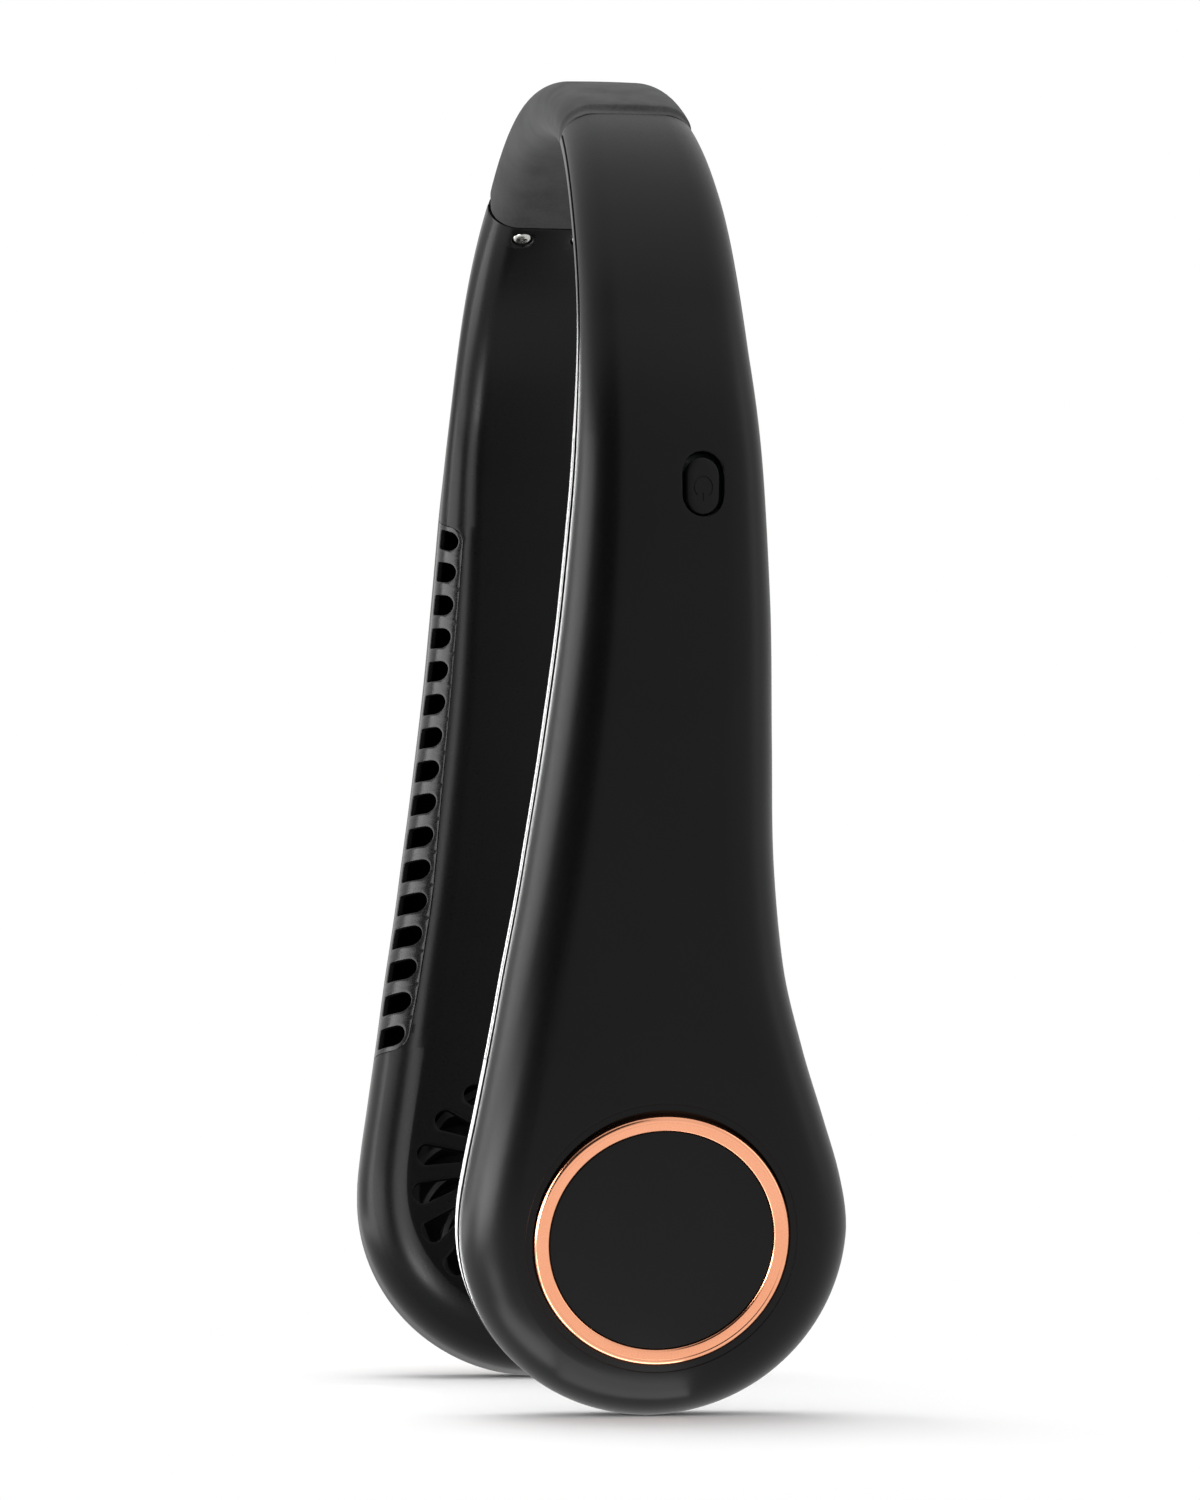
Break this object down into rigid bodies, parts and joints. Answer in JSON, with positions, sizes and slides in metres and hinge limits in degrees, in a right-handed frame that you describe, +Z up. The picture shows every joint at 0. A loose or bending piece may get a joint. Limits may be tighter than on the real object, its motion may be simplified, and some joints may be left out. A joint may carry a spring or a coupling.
{
  "type": "electric neck fan",
  "caption": "Bladeless neck fan: bent moulded arms with round fan pods, inlet grilles and edge air slots, joined by a flexible rubber neck sleeve.",
  "frame": {"origin": "middle of the surface that the two pods stand on", "axes": "+Z up through the neck sleeve, +X towards the arm with the power button, -Y towards the slotted edges"},
  "size_m": [0.1676, 0.058, 0.2069],
  "materials": {
    "shell_plastic": "satin moulded black",
    "vent_plastic": "satin moulded charcoal",
    "duct_plastic": "plain moulded",
    "sleeve_rubber": "matte fine-grained rubber",
    "spring_steel": "blued spring strip",
    "cable_jacket": "plain jacket",
    "anchor_nylon": "plain moulded",
    "screw_steel": "bright nickel",
    "ring_plating": "polished rose gold plating",
    "cap_plastic": "fine sparked satin",
    "motor_plastic": "plain moulded",
    "bearing_bronze": "sintered bronze",
    "stator_copper": "wound laminations",
    "cell_can": "shrink-wrapped cell",
    "rotor_steel": "drawn steel",
    "shaft_steel": "ground steel",
    "impeller_plastic": "plain moulded",
    "button_plastic": "satin moulded black",
    "switch_plastic": "plain moulded",
    "board_laminate": "solder-masked laminate",
    "socket_steel": "drawn sheet"
  },
  "bodies": {
    "neck_band": {"neck_sleeve": "sleeve_rubber", "spring_strip": "spring_steel", "link_cable": "cable_jacket"},
    "left_arm": {"left_outer_shell": "shell_plastic", "left_inner_shell": "shell_plastic", "left_vent_strip": "vent_plastic", "left_duct_wall": "duct_plastic", "left_band_anchor": "anchor_nylon", "left_shell_screws": "screw_steel", "left_trim_ring": "ring_plating", "left_cap_disc": "cap_plastic", "left_motor_mount": "motor_plastic", "left_bearing": "bearing_bronze", "left_stator": "stator_copper", "left_battery": "cell_can", "tact_switch": "switch_plastic", "control_board": "board_laminate", "usb_socket": "socket_steel"},
    "right_arm": {"right_outer_shell": "shell_plastic", "right_inner_shell": "shell_plastic", "right_vent_strip": "vent_plastic", "right_duct_wall": "duct_plastic", "right_band_anchor": "anchor_nylon", "right_shell_screws": "screw_steel", "right_trim_ring": "ring_plating", "right_cap_disc": "cap_plastic", "right_motor_mount": "motor_plastic", "right_bearing": "bearing_bronze", "right_stator": "stator_copper", "right_battery": "cell_can"},
    "power_button": {"power_button": "button_plastic", "switch_plunger": "switch_plastic"},
    "left_fan": {"left_rotor_cup": "rotor_steel", "left_motor_shaft": "shaft_steel", "left_impeller": "impeller_plastic"},
    "right_fan": {"right_rotor_cup": "rotor_steel", "right_motor_shaft": "shaft_steel", "right_impeller": "impeller_plastic"}
  },
  "joints": [
    {"name": "left_arm_flex", "type": "hinge", "parent": "neck_band", "child": "left_arm", "pos_m": [0.01772, 0, 0.20031], "axis": [0, -1, 0], "range_deg": [-12, 20], "stiffness_Nm_per_rad": 2.5, "deforming": ["neck_sleeve", "spring_strip", "link_cable"]},
    {"name": "right_arm_flex", "type": "hinge", "parent": "neck_band", "child": "right_arm", "pos_m": [-0.01772, 0, 0.20031], "axis": [0, 1, 0], "range_deg": [-12, 20], "stiffness_Nm_per_rad": 2.5, "deforming": ["neck_sleeve", "spring_strip", "link_cable"]},
    {"name": "power_press", "type": "slide", "parent": "left_arm", "child": "power_button", "axis": [-0.9999, 0, -0.0173], "range_m": [0, 0.0006], "stiffness_N_per_m": 1500},
    {"name": "left_impeller_spin", "type": "hinge", "parent": "left_arm", "child": "left_fan", "pos_m": [0.061, 0, 0.02867], "axis": [0.9655, 0, -0.2605], "continuous": true},
    {"name": "right_impeller_spin", "type": "hinge", "parent": "right_arm", "child": "right_fan", "pos_m": [-0.061, 0, 0.02867], "axis": [-0.9655, 0, -0.2605], "continuous": true}
  ]
}
